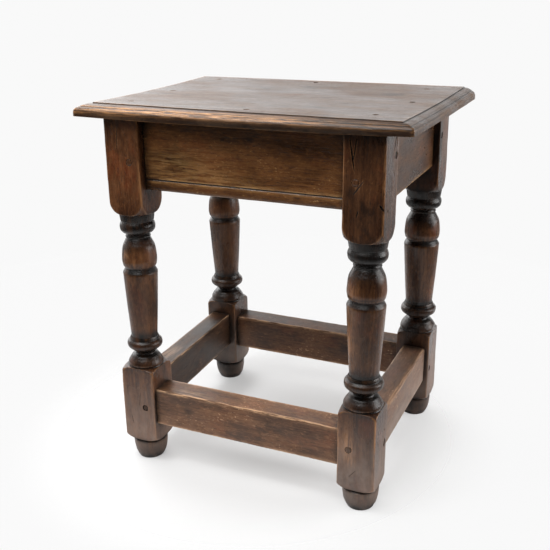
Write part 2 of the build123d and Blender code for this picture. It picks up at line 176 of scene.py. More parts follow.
soft_lamp("lamp_front", place=(-0.2, -1.2, 2.35), aim=(0, 0, 0.25), width=1.6, power=37)
soft_lamp("lamp_left", place=(-0.85, -0.85, 2.2), aim=(0, 0, 0.4), width=0.45, power=12)
soft_lamp("lamp_overhead", place=(-0.7, 0.1, 2.1), aim=(0, 0, 0.4), width=0.9, power=14)
soft_lamp("lamp_right", place=(2.0, 0.7, 0.75), aim=(0, 0, 0.1), width=1.3, power=35)


# --- Legs ---------------------------------------------------------------------
# Four oak posts, turned on a pole lathe between the square blocks that take the joints. The front and
# back pairs lean in a little, are sawn level, and have been rubbed and waxed dark for centuries.
MM = 0.001
LEG_HALF = 27.5  # half the side of the square stock
LEG_REACH = {"front_left": 173.75, "front_right": 173.75, "back_left": 181.75, "back_right": 173.75}
LEG_SPACING_FLOOR = 293.4  # between the front and back legs' axes, at the floor
LEG_SPACING_SEAT = 280.0  # and under the board
BOARD_UNDERSIDE = 532.5
SAW_SPARE = 12.0  # left over the underside, and sawn off
LEG_GIRTH = {"front_left": 0.96, "front_right": 1.0, "back_left": 1.03, "back_right": 1.05}
LEG_CORNER = LEG_HALF * math.sqrt(2) + 0.3
SPLAY = math.atan2(LEG_SPACING_FLOOR - LEG_SPACING_SEAT, 2 * BOARD_UNDERSIDE)
SIDES = {"left": -1, "right": 1}
ENDS = ("front", "back")
RAIL_NAMES = [f"{kind}_{where}" for kind in ("apron", "stretcher") for where in (*ENDS, *SIDES)]
LEG_SECTORS = 16  # the outline is spun in this many like sectors
SECTOR_STEPS = 8
MOULDING_STEP = 0.8  # spacing of the outline's points on the baluster's mouldings
CURVE_STEP = 0.9  # on the other curves
TAPER_STEP = 2.0  # on the long taper
BLOCK_STEP = 2.2  # and on the square blocks
TALL_RUN = 50.0  # a run of the baluster taller than this is the taper


def joined_runs(start, runs):
    """Runs of an outline, each set off from the end of the one before."""
    whole = []
    for run in runs:
        whole.append([start, *run])
        start = run[-1]
    return whole


# Turned work below and between the blocks, as (radius, height); with more than one point, a curve.
FOOT_RUNS = joined_runs((18.9, -1), [
    [(23.2, 8), (25.2, 17), (26.1, 25), (26.2, 30)],
    [(23.4, 32.5)],
    [(26.5, 35.5)],
])
BALUSTER_RUNS = joined_runs((27.2, 156.5), [
    [(26.6, 157.6)],
    [(27.6, 159.4), (27.4, 161.6), (26.6, 163.6)],
    [(24.6, 167)],
    [(23.2, 168.8)],
    [(20.4, 172.4), (16, 174.4)],
    [(14.9, 176), (16, 178.2)],
    [(23.4, 184)],
    [(26.4, 187), (27.4, 191), (26.5, 194.8), (24.2, 197.2)],
    [(22.9, 198.2)],
    [(22.4, 200.6)],
    [(21.1, 203.2), (20.6, 207), (23.4, 250), (26.4, 304.2)],
    [(25.9, 305.6)],
    [(22.6, 311)],
    [(25.4, 316)],
    [(26.5, 325), (24.6, 342.6), (21.3, 350.7), (18.8, 355.6)],
    [(17.9, 357)],
    [(19, 359.3), (17.7, 361.8)],
    [(18.8, 363.4)],
    [(22.8, 365.6)],
    [(25.7, 369.2), (26.6, 374.3), (26.1, 377.8), (24.9, 380.4)],
    [(24.1, 381.8)],
    [(24.9, 383.2)],
    [(26, 390.5)],
    [(26.4, 394)],
])
LOWER_BLOCK = (47.0, 145.0)  # heights between which the stock is left square
UPPER_BLOCK = 424.0  # and above which it is
CIRCLE_PULL = 0.5523  # handle length of a quarter round drawn as one curve


def run_points(points, spacing):
    """Points about spacing apart on a straight or smooth line through the given ones."""
    knots = [Vector((x, 0, z)) for x, z in points]
    before = [2 * knots[0] - knots[1], *knots[:-1]]
    after = [*knots[1:], 2 * knots[-1] - knots[-2]]
    placed = []
    for i, (start, end) in enumerate(zip(knots, knots[1:])):
        steps = max(2, round((end - start).length / spacing) + 1)
        pull_out = start + (end - before[i]) / 6
        pull_in = end - (after[i + 1] - start) / 6
        if len(knots) == 2:
            pull_out, pull_in = start.lerp(end, 1 / 3), start.lerp(end, 2 / 3)
        placed += geometry.interpolate_bezier(start, pull_out, pull_in, end, steps)[:-1]
    return placed


def oval_points(start, end, from_side, spacing):
    """A quarter oval from start to end, setting off level if from_side, else upright."""
    a, b = Vector((start[0], 0, start[1])), Vector((end[0], 0, end[1]))
    corner = Vector((b.x, 0, a.z)) if from_side else Vector((a.x, 0, b.z))
    steps = round((b - a).length * 1.15 / spacing) + 1
    pull_out, pull_in = a.lerp(corner, CIRCLE_PULL), b.lerp(corner, CIRCLE_PULL)
    return geometry.interpolate_bezier(a, pull_out, pull_in, b, steps)[:-1]


def leg_outline(girth):
    """The whole turned outline of one leg, from just below the floor to just above the underside."""
    low, high = LOWER_BLOCK
    baluster = [[(x * girth, z) for x, z in run] for run in BALUSTER_RUNS]
    outline = []
    for run in FOOT_RUNS:
        outline += run_points(run, CURVE_STEP)
    outline += oval_points(FOOT_RUNS[-1][-1], (LEG_CORNER, low), True, CURVE_STEP)
    outline += run_points([(LEG_CORNER, low), (LEG_CORNER, high)], BLOCK_STEP)
    outline += oval_points((LEG_CORNER, high), baluster[0][0], False, CURVE_STEP)
    for run in baluster:
        tall = run[-1][1] - run[0][1] > TALL_RUN
        outline += run_points(run, TAPER_STEP if tall else MOULDING_STEP)
    outline += oval_points(baluster[-1][-1], (LEG_CORNER, UPPER_BLOCK), True, CURVE_STEP)
    top = BOARD_UNDERSIDE + SAW_SPARE
    outline += run_points([(LEG_CORNER, UPPER_BLOCK), (LEG_CORNER, top)], BLOCK_STEP)
    return outline


def square_reach(angle, half, arris):
    """Distance from the middle of a square post to its side, its corners rounded by arris."""
    across, up = abs(math.cos(angle)), abs(math.sin(angle))
    across, up = max(across, up), min(across, up)
    if half / across * up <= half - arris:
        return half / across
    middle = (half - arris) * (across + up)
    return middle + math.sqrt(middle**2 - 2 * (half - arris) ** 2 + arris**2)


def held(value):
    """The value, kept from 0 to 1."""
    return min(1.0, max(0.0, value))


def soft_min(a, b, blend):
    """The smaller of two, with the corner between them eased over blend."""
    near = max(blend - abs(a - b), 0) / blend
    return min(a, b) - near * near * blend / 4


def ripple(point, scale, seed):
    """Smooth random unevenness from -1 to 1, with bumps about scale across."""
    return noise.noise(Vector(point) / scale + Vector((seed * 7.3, seed * 3.1, -seed * 5.7)))


def frame_place(end):
    """Where the upright front or back frame stands, in millimetres."""
    turn = Matrix.Rotation(0 if end == "front" else math.pi, 4, "Z")
    return turn @ Matrix.Translation((0, -LEG_SPACING_FLOOR / 2, 0)) @ Matrix.Rotation(-SPLAY, 4, "X")


def along_frame(end, side, inward=0.0):
    """Where a leg's axis lies along its own frame, or a point inward from it."""
    sign = SIDES[side] if end == "front" else -SIDES[side]
    return sign * (LEG_REACH[f"{end}_{side}"] - inward)


def leg_place(end, side):
    """Where a leg stands, in millimetres."""
    return frame_place(end) @ Matrix.Translation((along_frame(end, side), 0, 0))


def verts_in(geom):
    """The points among an operator's results."""
    return [item for item in geom if isinstance(item, bmesh.types.BMVert)]


def edges_in(geom):
    """The edges among an operator's results."""
    return [item for item in geom if isinstance(item, bmesh.types.BMEdge)]


def rows_of(data, what, width, kind=float):
    """One property of all the items of a mesh, a row to each."""
    values = np.empty(len(data) * width, dtype=kind)
    data.foreach_get(what, values)
    return values.reshape(-1, width)


SPREAD_SHARE = 0.6  # how much of each point's value comes from those next to it
SPREAD_ROUNDS = 2
RUBBED_GAIN = 1.3  # makes good what the spreading takes from narrow ridges and hollows
DARK_GAIN = 1.5
SPOT_FALL = 1.4  # how fast a spot fades towards its reach


def wear(mesh, spots, ridge=350.0, hollow=260.0):
    """Rubbed ridges and dark hollows read from the shape, with the given spots added.

    Each spot is (middle, reach along x, y, z, rubbed, dark), in millimetres.
    """
    places = rows_of(mesh.vertices, "co", 3)
    normals = rows_of(mesh.vertex_normals, "vector", 3)
    a, b = rows_of(mesh.edges, "vertices", 2, int).T

    def gathered(at_a, at_b):
        """Values given at the edges' two ends, summed on the points."""
        total = np.zeros(len(places))
        np.add.at(total, a, at_a)
        np.add.at(total, b, at_b)
        return total

    along = places[b] - places[a]
    squared = np.maximum((along**2).sum(axis=1), 1e-9)
    links = np.maximum(gathered(1, 1), 1)
    falls_away = [2 * (normals[side] * along).sum(axis=1) / squared for side in (a, b)]
    bend = gathered(-falls_away[0], falls_away[1]) / links
    rubbed = np.clip(bend / ridge, 0, 1)
    dark = np.clip(-bend / hollow, 0, 1)
    for _ in range(SPREAD_ROUNDS):
        for values in (rubbed, dark):
            around = gathered(values[b], values[a])
            values[:] = (1 - SPREAD_SHARE) * values + SPREAD_SHARE * around / links
    rubbed = np.clip(rubbed * RUBBED_GAIN, 0, 1)
    dark = np.clip(dark * DARK_GAIN, 0, 1)
    if "pressed" in mesh.attributes:
        pressed = rows_of(mesh.attributes["pressed"].data, "value", 1)[:, 0]
        rubbed *= 1 - pressed
        dark = np.maximum(dark, pressed)
    # Spots add wear and stains, and in some places painted shade and painted highlights.
    for middle, reach, more_rubbed, more_dark in spots:
        away = (((places / MM - middle) / reach) ** 2).sum(axis=1)
        share = np.exp(-away * SPOT_FALL)
        rubbed += more_rubbed * share
        dark += more_dark * share
    for name, values in (("rubbed", rubbed), ("dark", dark)):
        layer = mesh.attributes.new(name, "FLOAT", "POINT")
        layer.data.foreach_set("value", np.clip(values, 0, 1).astype(np.float32))


# Near-black for dark hollows, holes and stains, and also for the painted shade that ambient occlusion lays
# into crevices and corners.
GRIME_AND_SHADE = (0.0065, 0.0048, 0.0040, 1)
OCCLUSION_SHADE_REACH = 0.022  # metres within which ambient occlusion paints shade into crevices and corners
# Pale grey laid on towards the floor: a dusting, and a painted sheen on the lower faces.
DUST_AND_SHEEN = (0.33, 0.255, 0.215, 1)
DUST_AND_SHEEN_HEIGHTS = (0.05, 0.16)  # metres over the floor where the dusting and painted sheen are thickest and where they end
WAX_SHINE = 0.32
FINEST_CELL = 0.5  # millimetres, the finest the skin is divided round a mark
REFINED_MARGINS = (2.6, 1.7, 0.9)  # how far beyond a mark each round of dividing reaches
PULL_MARGIN = 1.4  # and how far its pull is felt


def oak(name, grain_axis, browns, shift, tone=1.0, fleck=0.35, shine=0.3, dust_and_sheen=0.0, streak=1.0, red=0.6):
    """Old waxed oak with its grain along one axis.

    browns are the deep, middle, light and rubbed colours, the first three lightened by tone, and
    shift takes another part of the tree. Pores are short dark dashes along the grain, flecks pale
    ones, and the values on the points bring rubbed edges, dark hollows, and in some spots painted
    shade and painted highlights. Ambient occlusion lays painted shade into crevices and corners.
    Towards the floor a pale grey dulls the wood, a dusting together with a painted sheen on the
    lower faces; shine is how dull the wax has gone, streak how strongly the grain shows, and red
    how much of the old red glaze is left.
    """
    material = bpy.data.materials.new(name)
    tree = new_tree(material)
    where = add_node(tree, "TexCoord")["Object"]
    turn = {"X": (0, 0, 0), "Y": (0, 0, -math.pi / 2), "Z": (0, math.pi / 2, 0)}[grain_axis]
    turning = {"Vector": where, "Rotation": turn, "Location": (shift, shift * 2, -shift)}
    turned = add_node(tree, "Mapping", turning)[0]

    def along_grain(lengthwise, across, seed, detail=4.0, roughness=0.55, warp=0.0):
        """Noise drawn out along the grain; the sizes are in cycles per metre."""
        drawn = {"Scale": (lengthwise, across, across), "Location": (seed, seed * 1.7, 0)}
        stretched = add_node(tree, "Mapping", {"Vector": turned, **drawn})[0]
        grain = {"Scale": 1.0, "Detail": detail, "Roughness": roughness, "Distortion": warp}
        return add_node(tree, "TexNoise", {"Vector": stretched, **grain})[0]

    def curve(value, *spans):
        """The value taken smoothly from one span to another."""
        return eased(tree, value, *spans)

    def laid(share, base, over):
        """One colour laid on another."""
        return add_node(tree, "Mix", {0: share, 6: base, 7: over}, data_type="RGBA")[2]

    def sums(first, second, how="MULTIPLY"):
        """Arithmetic on two values."""
        return add_node(tree, "Math", {0: first, 1: second}, operation=how, use_clamp=True)[0]

    deep, middle, light = ((*(tone * part for part in colour), 1) for colour in browns[:3])
    polish = (*browns[3], 1)
    patches = along_grain(9, 19, 3.1, roughness=0.6)
    streaks = along_grain(6, 85, 11.0, detail=5, roughness=0.6, warp=0.8)
    fibres = along_grain(30, 620, 5.0, roughness=0.65)
    dashes = along_grain(95, 1100, 8.0, detail=2)
    flecks = along_grain(170, 420, 17.0, detail=3, roughness=0.7)
    mottle = along_grain(130, 260, 59.0, roughness=0.7)
    stains = along_grain(15, 27, 43.0, detail=5, roughness=0.65)
    glaze = along_grain(21, 30, 71.0, detail=3)
    red_glaze = (middle[0] * 1.40, middle[1] * 0.82, middle[2] * 0.62, 1)
    colour = laid(curve(patches, 0.36, 0.62), deep, middle)
    for pattern, start, full, most, over in (
        (glaze, 0.52, 0.68, red, red_glaze),
        (streaks, 0.45, 0.78, 0.75 * streak, light),
        (streaks, 0.50, 0.30, 0.65 * streak, deep),
        (mottle, 0.54, 0.66, 0.45, light),
        (mottle, 0.47, 0.36, 0.50, deep),
        (fibres, 0.45, 0.72, 0.32, light),
        (fibres, 0.46, 0.30, 0.45, deep),
    ):
        colour = laid(curve(pattern, start, full, 0.0, most), colour, over)
    scuffed = sums(curve(flecks, 0.58, 0.72, 0.0, fleck), curve(patches, 0.46, 0.62))
    colour = laid(scuffed, colour, polish)
    near_black = (*(0.3 * part for part in deep[:3]), 1)
    colour = laid(curve(stains, 0.55, 0.68, 0.0, 0.7), colour, near_black)
    pores = curve(dashes, 0.60, 0.70, 0.0, 0.75)
    colour = laid(pores, colour, near_black)

    rubbed = add_node(tree, "Attribute", attribute_name="rubbed")["Fac"]
    dark = add_node(tree, "Attribute", attribute_name="dark")["Fac"]
    broken = along_grain(26, 330, 23.0, detail=6, roughness=0.7)
    rubbed_share = sums(rubbed, curve(broken, 0.43, 0.56, 0.08, 1.0))
    colour = laid(rubbed_share, colour, polish)
    smears = along_grain(40, 80, 31.0)
    # Painted shade: ambient occlusion darkens crevices and corners, broken up by smears, and joins the dark
    # hollows and spots.
    occlusion_shade = add_node(tree, "AmbientOcclusion", {"Distance": OCCLUSION_SHADE_REACH}, samples=6)["AO"]
    occlusion_shade_share = sums(curve(occlusion_shade, 0.92, 0.50), curve(smears, 0.25, 0.6, 0.6, 1.0))
    dark_share = sums(sums(dark, curve(smears, 0.25, 0.6, 0.65, 1.0)), occlusion_shade_share, "MAXIMUM")
    rough = curve(patches, 0.3, 0.7, shine - 0.05, shine + 0.09)
    rough = sums(rough, curve(pores, 0.0, 1.0, 0.0, 0.2), "ADD")
    rough = sums(rough, sums(rubbed_share, 0.13), "SUBTRACT")
    # A dusting and a painted sheen on the lower faces: pale grey and rougher towards the floor.
    if dust_and_sheen:
        height = add_node(tree, "SeparateXYZ", {0: where})["Z"]
        low_down = curve(height, DUST_AND_SHEEN_HEIGHTS[1], DUST_AND_SHEEN_HEIGHTS[0], 0.0, dust_and_sheen)
        dust_and_sheen_share = sums(low_down, curve(smears, 0.3, 0.7, 0.5, 1.0))
        colour = laid(dust_and_sheen_share, colour, DUST_AND_SHEEN)
        rough = sums(rough, sums(dust_and_sheen_share, 0.35), "ADD")
    # Dark hollows, stains and painted shade, laid on in one near-black.
    colour = laid(dark_share, colour, GRIME_AND_SHADE)

    relief = sums(curve(fibres, 0.2, 0.8), sums(pores, 0.9), "SUBTRACT")
    fine = add_node(tree, "Bump", {"Height": relief, "Strength": 0.5, "Distance": 0.0003})[0]
    swelling = {"Height": streaks, "Strength": 0.35, "Distance": 0.001, "Normal": fine}
    swell = add_node(tree, "Bump", swelling)[0]
    waxed = {"Base Color": colour, "Roughness": rough, "Specular IOR Level": WAX_SHINE, "Normal": swell}
    skin = add_node(tree, "BsdfPrincipled", waxed)
    add_node(tree, "OutputMaterial", {"Surface": skin[0]})
    return material


def press_in(shape, marks):
    """Refine the skin round each mark and press it in, in millimetres.

    Each mark is (start, end, half width, depth): a round hole where start and end are the same,
    otherwise a split along the line between them that narrows to its ends.
    """
    if not marks:
        return
    pressed = shape.verts.layers.float.get("pressed") or shape.verts.layers.float.new("pressed")

    def gap(points, start, end):
        """How far each point lies from the mark's line, and how far along it."""
        start, run = np.array(start), np.array(end) - np.array(start)
        share = np.clip((points - start) @ run / max(run @ run, 1e-9), 0, 1)
        return np.linalg.norm(points - start - share[:, None] * run, axis=1), share

    bmesh.ops.recalc_face_normals(shape, faces=shape.faces)
    for margin in REFINED_MARGINS:
        faces = shape.faces[:]
        middles = np.array([face.calc_center_median() for face in faces])
        near = np.zeros(len(faces), dtype=bool)
        for start, end, width, _ in marks:
            near |= gap(middles, start, end)[0] < width + margin
        rim = {edge for face, inside in zip(faces, near) if inside for edge in face.edges}
        rim = [edge for edge in rim if edge.calc_length() > FINEST_CELL]
        bmesh.ops.subdivide_edges(shape, edges=rim, cuts=1, use_grid_fill=True)
    shape.normal_update()
    verts = shape.verts[:]
    places = np.array([vert.co for vert in verts])
    for start, end, width, depth in marks:
        away, share = gap(places, start, end)
        near = np.flatnonzero(away < width + PULL_MARGIN)
        touched = [(verts[i], verts[i].normal.copy(), away[i], share[i]) for i in near]
        facing = sum((normal for _, normal, _, _ in touched), Vector()).normalized()
        hole = (Vector(end) - Vector(start)).length < 0.1
        for vert, normal, far, along in touched:
            if normal.dot(facing) < 0.5:
                continue
            narrowing = 1.0 if hole else min(1.0, 0.35 + 2.6 * along * (1 - along))
            ragged = width * narrowing * (1 + 0.16 * ripple(vert.co, 1.6, 5))
            vert.co -= facing * depth * held((ragged - far) / 0.45 + 0.5)
            vert[pressed] = max(vert[pressed], held((ragged + 0.5 - far) / 0.6))


SHARP_FROM = math.radians(42)  # edges bent more than this are shaded sharp


def add_piece(manner, node_name, slot_name, material, shape, marks=(), spots=(), **wearing):
    """The finished shape, in millimetres, marked and worn, on the stool in place of a CAD piece."""
    press_in(shape, marks)
    bmesh.ops.recalc_face_normals(shape, faces=shape.faces)
    bmesh.ops.scale(shape, vec=(MM, MM, MM), verts=shape.verts)
    name = f"{manner}_{node_name}"
    mesh = bpy.data.meshes.new(name)
    shape.to_mesh(mesh)
    shape.free()
    mesh.shade_smooth()
    mesh.set_sharp_from_angle(angle=SHARP_FROM)
    mesh.materials.append(material)
    piece = in_scene(name, mesh)
    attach(piece, "root")
    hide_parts(node_name)
    wear(mesh, spots, **wearing)


LEG_BROWNS = ((0.03, 0.01, 0.004), (0.098, 0.037, 0.0135), (0.155, 0.066, 0.027), (0.4, 0.19, 0.08))
# How light the oak of each leg is.
LEG_TONES = {"front_left": 1.50, "front_right": 0.92, "back_left": 0.90, "back_right": 1.20}

JOINT_PEG = 9.0  # width across the flats
PEG_HOLE_ROOM = 0.15  # between a peg and the rim of its hole
PEG_HOLE_DEPTH = 1.8
# The two pegs of each kind of rail: how far from the tenon's shoulder, then their heights, from left to
# right along a long rail and from front to back along a side one.
JOINT_PEGS = {
    "apron_long": (17, 471, 471),
    "apron_side": (10.5, 500, 482),
    "stretcher_long": (16.5, 93, 98),
    "stretcher_side": (10.5, 95, 92),
}
SIDE_TENON_MIDDLE = {"apron": 478.5, "stretcher": 102.0}


def side_shoulder(height):
    """Half the length of a side rail between the leaning legs, at a height."""
    return LEG_SPACING_FLOOR / 2 - LEG_HALF - height * math.tan(SPLAY)


def joint_peg_place(rail_name, rail_end):
    """Where a joint peg goes in, with its own -Z leading down the hole."""
    kind, where = rail_name.split("_")
    from_shoulder, *heights = JOINT_PEGS[f"{kind}_side" if where in SIDES else f"{kind}_long"]
    height = heights[rail_end in ("right", "back")]
    if where in SIDES:
        y = side_shoulder(SIDE_TENON_MIDDLE[kind]) + from_shoulder
        face = SIDES[where] * (LEG_REACH[f"{rail_end}_{where}"] + LEG_HALF)
        side_turn = Matrix.Rotation(SIDES[where] * math.pi / 2, 4, "Y")
        return Matrix.Translation((face, -y if rail_end == "front" else y, height)) @ side_turn
    x = along_frame(where, rail_end, LEG_HALF - from_shoulder)
    inside = Matrix.Translation((x, -LEG_HALF, height))
    return frame_place(where) @ inside @ Matrix.Rotation(math.pi / 2, 4, "X")


# Splits, nail holes and cuts on single legs, as in press_in, measured from the leg's own axis before
# it leans; each lies on the leg's right or its front face.
RIGHT = LEG_HALF
FRONT = -LEG_HALF
LEG_MARKS = {
    "front_right": [
        ((RIGHT, 16, 527), (RIGHT, 6.5, 508), 0.9, 2.2),
        ((RIGHT, 16, 527), (RIGHT, 20.5, 511), 0.8, 1.9),
        ((RIGHT, -11.5, 436), (RIGHT, -11.5, 436), 1.6, 2.6),
        ((RIGHT, 16.5, 88), (RIGHT, 16.5, 102), 1.7, 2.2),
        ((RIGHT, 16, 116), (RIGHT, 16, 116), 1.2, 1.5),
        ((-18.5, FRONT, 524), (-12.5, FRONT, 486), 0.8, 1.5),
        ((-10, FRONT, 526), (-13.5, FRONT, 500), 0.6, 1.1),
        ((-13, FRONT, 456), (0, FRONT, 474), 0.8, 0.5),
        ((21.5, FRONT, 446), (27, -26.5, 439), 1.3, 1.6),
        ((-6, FRONT, 436), (-8, FRONT, 428), 0.6, 0.8),
        ((-8.5, FRONT, 57), (0.5, FRONT, 68), 0.3, 0.3),
    ],
    "front_left": [
        ((-6, FRONT, 520), (-8, FRONT, 488), 0.4, 0.5),
        ((4, FRONT, 118), (1, FRONT, 96), 0.4, 0.5),
        ((-14, FRONT, 76), (-12, FRONT, 62), 0.4, 0.4),
    ],
    "back_right": [
        ((RIGHT, 8, 470), (RIGHT, 9.5, 452), 0.5, 0.8),
        ((RIGHT, -2, 110), (RIGHT, -3, 90), 0.5, 0.7),
    ],
}
# Wax and soot in the turned hollows of every leg, as in wear, from (height, reach, rubbed, dark).
ALL_ROUND = 4000
TURNED_SPOTS = [
    ((0, 0, height), (ALL_ROUND, ALL_ROUND, reach), rubbed, dark)
    for height, reach, rubbed, dark in (
        (388, 10, -0.6, 1.1),
        (374, 10, -0.9, 1.2),
        (360, 11, -0.4, 0.95),
        (346, 10, 0, 0.6),
        (310, 7, -0.4, 0.95),
        (260, 60, 0, 0.15),
        (205, 10, -0.3, 0.7),
        (190, 14, -0.25, 0.6),
        (177, 9, -0.4, 0.9),
        (162, 13, -0.25, 0.65),
        (33, 5, 0, 0.6),
    )
]
# Lighter and darker places on single legs, as in wear, measured from the stool's middle; the painted shade
# and painted highlights among them are noted.
LEG_SPOTS = {
    "front_left": [
        ((-180, -163, 334), (7, 12, 9), 0.75, 0),
        ((-168, -163, 322), (6, 12, 6), 0.35, 0),
        # Painted shadow of the board at the top of the upper block's front face.
        ((-190, -168, 526), (30, 12, 7), 0, 0.6),
        ((-155, -168, 470), (8, 12, 40), 0, 0.35),
        ((-174, -150, 255), (60, 60, 62), 0, 0.65),
        ((-174, -150, 12), (60, 60, 26), 0, 0.85),
        ((-174, -170, 90), (60, 60, 40), 0, 0.25),
    ],
    "front_right": [
        ((168, -168, 466), (6, 8, 9), 0.55, 0),
        ((157, -168, 458), (9, 8, 16), 0, 0.6),
        ((176, -168, 500), (26, 8, 30), 0, 0.35),
        ((176, -168, 430), (36, 10, 26), -0.2, 0.45),
        ((161, -173, 104), (11, 8, 24), 0.85, 0),
        ((168, -173, 82), (9, 8, 10), 0.45, 0),
        ((190, -173, 110), (9, 9, 45), 0, 0.25),
        # Painted highlight down the column's left side, and painted shade down its right.
        ((153, -158, 255), (12, 14, 60), 0.75, -0.2),
        ((180, -168, 260), (16, 12, 60), 0, 0.3),
        ((174, -150, 12), (60, 60, 22), 0, 0.55),
        # Painted highlight on the left of the vase.
        ((158, -160, 330), (14, 14, 12), 0.35, 0),
    ],
    # Painted shade on the back left leg's low block and foot.
    "back_left": [((-182, 120, 100), (50, 30, 60), 0, 0.9), ((-182, 130, 20), (50, 50, 30), 0, 0.85)],
    "back_right": [
        # Painted shade on the front faces of the back right leg's blocks, and on its foot.
        ((168, 118, 465), (60, 14, 85), -0.8, 1.6),
        ((170, 118, 100), (40, 16, 60), -0.5, 1.1),
        ((175, 130, 20), (50, 50, 26), 0, 0.9),
    ],
}


def leg_marks(end, side):
    """The marks on one leg, its joint pegs' holes among them, standing where the leg stands."""
    place = leg_place(end, side)
    marks = [
        (place @ Vector(start), place @ Vector(stop), width, depth)
        for start, stop, width, depth in LEG_MARKS.get(f"{end}_{side}", ())
    ]
    for rail_name in RAIL_NAMES:
        where = rail_name.split("_")[1]
        if where in (end, side):
            middle = joint_peg_place(rail_name, side if where == end else end).translation
            marks.append((middle, middle, JOINT_PEG / 2 + PEG_HOLE_ROOM, PEG_HOLE_DEPTH))
    return marks


def turned_leg(end, side):
    """One leg's skin: spun outline, held inside the square stock, leaned over and sawn level."""
    seed = 1 + 2 * (end == "back") + (side == "right")
    shape = bmesh.new()
    points = [shape.verts.new(p) for p in leg_outline(LEG_GIRTH[f"{end}_{side}"])]
    rim = [shape.edges.new(pair) for pair in zip(points, points[1:])]
    sector = 2 * math.pi / LEG_SECTORS
    turn = {"cent": (0, 0, 0), "axis": (0, 0, 1)}
    bmesh.ops.spin(shape, geom=points + rim, angle=sector, steps=SECTOR_STEPS, **turn)
    whole = shape.verts[:] + shape.edges[:] + shape.faces[:]
    rest = 2 * math.pi - sector
    bmesh.ops.spin(shape, geom=whole, angle=rest, steps=LEG_SECTORS - 1, use_duplicate=True, **turn)
    bmesh.ops.remove_doubles(shape, verts=shape.verts, dist=0.01)
    quarter = math.pi / 4
    for vert in shape.verts:
        radius, height = math.hypot(vert.co.x, vert.co.y), vert.co.z
        angle = math.atan2(vert.co.y, vert.co.x)
        side_middle = round(angle / (2 * quarter)) * 2 * quarter
        share = (angle - side_middle) / quarter
        angle = side_middle + quarter * (1.35 * share - 0.35 * share**3)
        way = Vector((math.cos(angle), math.sin(angle), 0))
        spot = way * 27 + Vector((0, 0, height))
        arris = 2.0 + 0.9 * ripple((way.x * 3, way.y * 3, height / 14), 1.0, seed)
        half = LEG_HALF + 0.25 * ripple(spot, 30, seed) - 0.25
        post = square_reach(angle, half, max(arris, 0.8))
        radius = soft_min(radius, post, 0.9) + 0.12 * ripple(spot, 9, seed + 4)
        vert.co = way * radius + Vector((0, 0, height))
    bmesh.ops.transform(shape, matrix=leg_place(end, side), verts=shape.verts)
    for level, way in ((0, -1), (BOARD_UNDERSIDE, 1)):
        whole = shape.verts[:] + shape.edges[:] + shape.faces[:]
        plane = {"plane_co": (0, 0, level), "plane_no": (0, 0, way)}
        cut = bmesh.ops.bisect_plane(shape, geom=whole, clear_outer=True, **plane)
        bmesh.ops.contextual_create(shape, geom=edges_in(cut["geom_cut"]))
    return shape


for number, (corner, tone) in enumerate(LEG_TONES.items()):
    end, side = corner.split("_")
    leg_oak = oak(f"leg_{corner}_oak", "Z", LEG_BROWNS, 0.37 * number, tone, shine=0.26, dust_and_sheen=0.58, red=0.5)
    spots = TURNED_SPOTS + LEG_SPOTS[corner]
    shape = turned_leg(end, side)
    add_piece("turned", f"leg_{corner}", "leg_oak", leg_oak, shape, leg_marks(end, side), spots)


# --- Aprons and stretchers ----------------------------------------------------
# Four sawn and planed oak boards under the seat and four stouter bars near the floor, each tenoned
# into the legs. The long aprons have a bead scratched along their lower edge, and feet have worn the
# stretchers' upper outer edges round and bright.
RAIL_STEP = 2.5  # spacing of the points along and round a rail
RAIL_ARRIS = 1.2  # rounding of the edges, all but the upper outer one
BEAD_HEIGHT = 14.0
BEAD_GROOVE = (3.4, 1.8)  # width and depth
BEAD_ROUNDING = 5.0
# Bottom and top of each rail, how light its oak is, and how much dusting and painted sheen it holds.
RAILS = {
    "apron_front": (430.5, BOARD_UNDERSIDE, 1.38, 0),
    "apron_back": (430.5, BOARD_UNDERSIDE, 0.9, 0),
    "apron_left": (436, BOARD_UNDERSIDE, 0.8, 0),
    "apron_right": (436, BOARD_UNDERSIDE, 0.74, 0),
    "stretcher_front": (66.5, 124.5, 1, 0.15),
    "stretcher_back": (69.5, 128.5, 0.78, 0.08),
    "stretcher_left": (75, 135, 0.4, 0.03),
    "stretcher_right": (72, 132, 0.85, 0.95),
}
# Recess behind the legs' face, thickness and rounding of the upper outer edge, which feet have worn on
# the stretchers, then the tenon's setback, thickness, bottom, top and length.
RAIL_SECTIONS = {
    "apron_long": (14.8, 24, 1.2, 6.5, 11, 446, 511, 34),
    "stretcher_long": (7, 38, 2.2, 13.5, 12, 74, 117, 34),
    "apron_side": (10, 24, 1.2, 6.5, 11, 446, 511, 19),
    "stretcher_side": (7, 36, 5, 12, 12, 80, 124, 19),
}


def eased_ring(corners, spacing):
    """A closed section from (depth, height, rounding) corners, with points about spacing apart."""
    ring = []
    for i, (y, z, radius) in enumerate(corners):
        here = Vector((0, y, z))
        before = Vector((0, *corners[i - 1][:2]))
        *after, after_radius = corners[(i + 1) % len(corners)]
        after = Vector((0, *after))
        start = here + (before - here).normalized() * radius
        end = here + (after - here).normalized() * radius
        pull_out, pull_in = start.lerp(here, CIRCLE_PULL), end.lerp(here, CIRCLE_PULL)
        bend = geometry.interpolate_bezier(start, pull_out, pull_in, end, 3 + round(radius * 1.6))
        reach = (after - here).length - after_radius - radius
        straight = max(1, round(reach / spacing))
        target = after + (here - after).normalized() * after_radius
        ring += bend
        ring += [bend[-1].lerp(target, k / straight) for k in range(1, straight)]
    return ring


def section_at(shape, ring, x):
    """A closed section drawn into a shape at x, as its points and its edges."""
    points = [shape.verts.new((x, p.y, p.z)) for p in ring]
    return points, [shape.edges.new(pair) for pair in zip(points, points[1:] + points[:1])]


